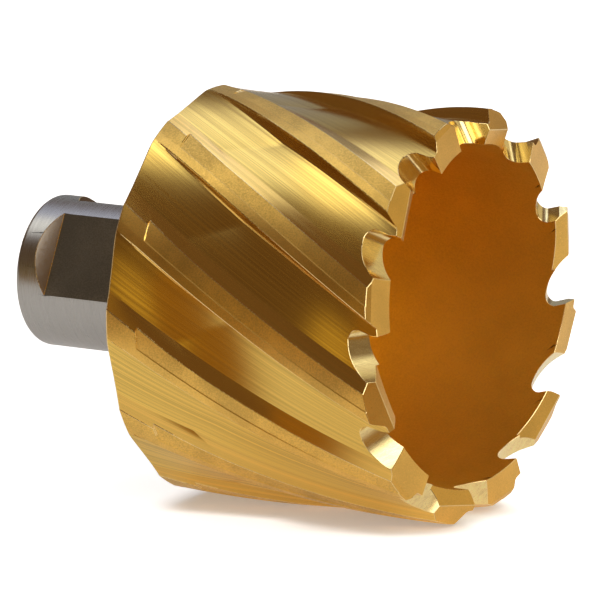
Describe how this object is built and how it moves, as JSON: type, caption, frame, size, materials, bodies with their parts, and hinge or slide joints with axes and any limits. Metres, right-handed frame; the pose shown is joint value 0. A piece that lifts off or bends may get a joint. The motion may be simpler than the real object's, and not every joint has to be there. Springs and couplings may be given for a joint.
{
  "type": "annular cutter",
  "caption": "Hollow core drill for metal, with helical flutes, end teeth of two kinds that take turns and a round shank with two flats.",
  "frame": {"origin": "on the axis, in the plane of the lowest tooth crests on which the cutter stands", "axes": "+Z along the axis from the teeth to the shank; +X and +Y out of the two flats on the shank"},
  "size_m": [0.051, 0.051, 0.0623],
  "materials": {
    "coated_steel": "gold-coloured hard coating on the fluted body, bare ground steel on the shank"
  },
  "bodies": {
    "root": {"annular_cutter": "coated_steel"}
  },
  "joints": []
}
